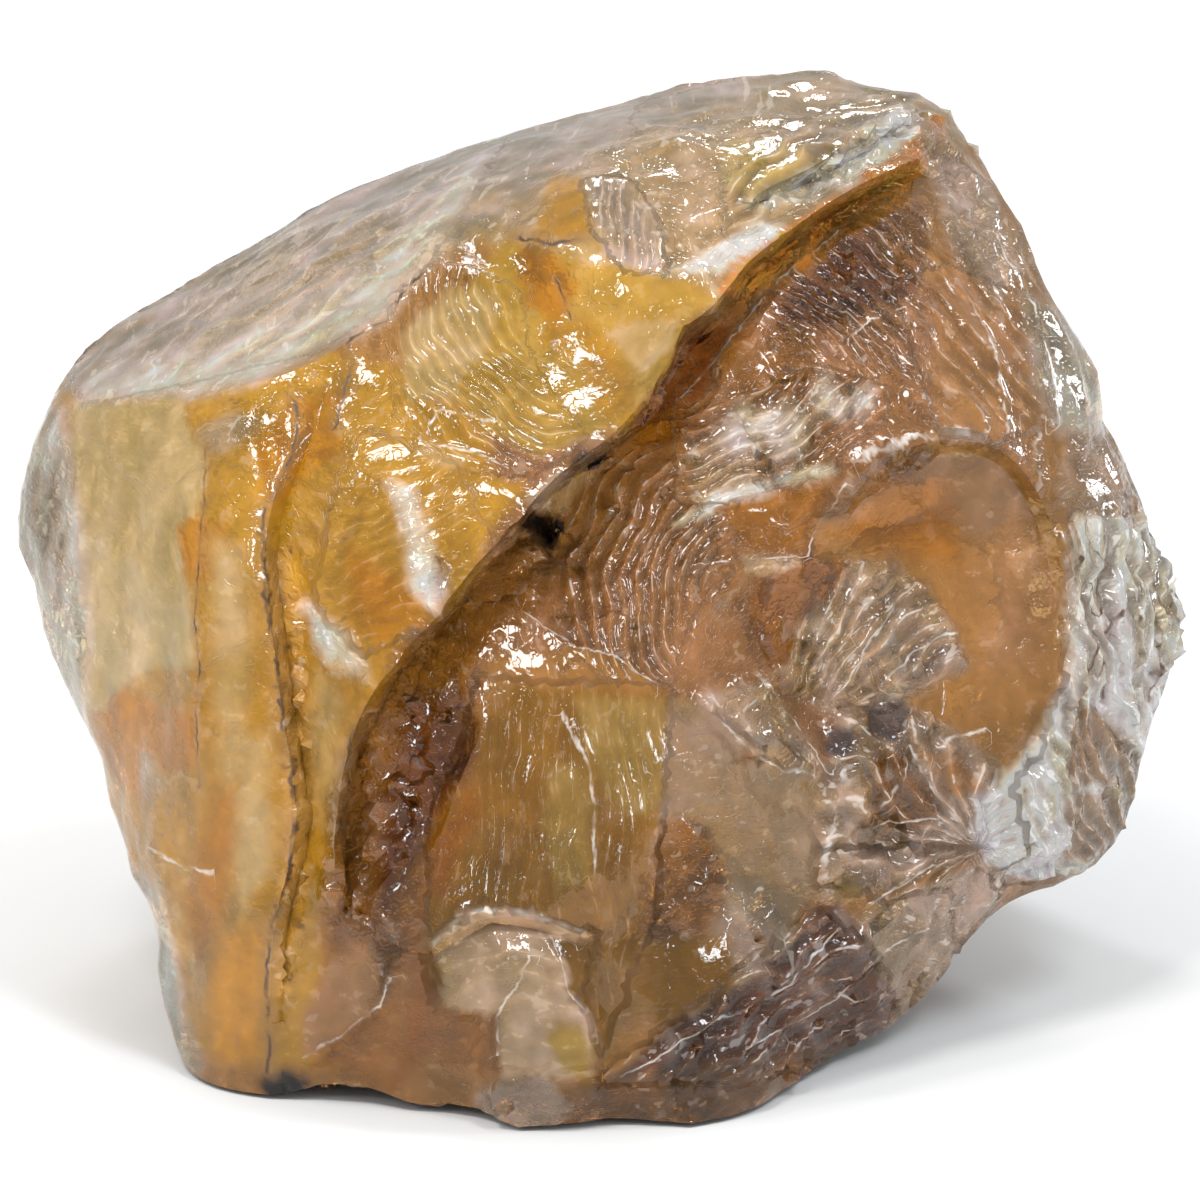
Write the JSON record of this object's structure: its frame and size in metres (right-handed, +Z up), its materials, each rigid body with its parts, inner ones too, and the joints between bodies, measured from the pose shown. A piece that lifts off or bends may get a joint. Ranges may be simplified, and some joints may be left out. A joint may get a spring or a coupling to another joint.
{
  "type": "golden healer quartz chunk",
  "caption": "Rough broken chunk of honey-gold to smoky clear quartz with a deep diagonal ledge, a honey dish and a flaky clear rim, resting on a flat break.",
  "frame": {"origin": "in the plane of the resting face, under the middle of the stone's box", "axes": "+Z up, +X to the viewer's right and along the stone's width, and the front with the ledge faces -Y"},
  "size_m": [0.0712, 0.0602, 0.0538],
  "materials": {
    "golden_quartz": "glassy broken quartz, clear at the rims and milky gold to smoky brown inside, with rust in its cracks"
  },
  "bodies": {
    "root": {"quartz_chunk": "golden_quartz"}
  },
  "joints": []
}
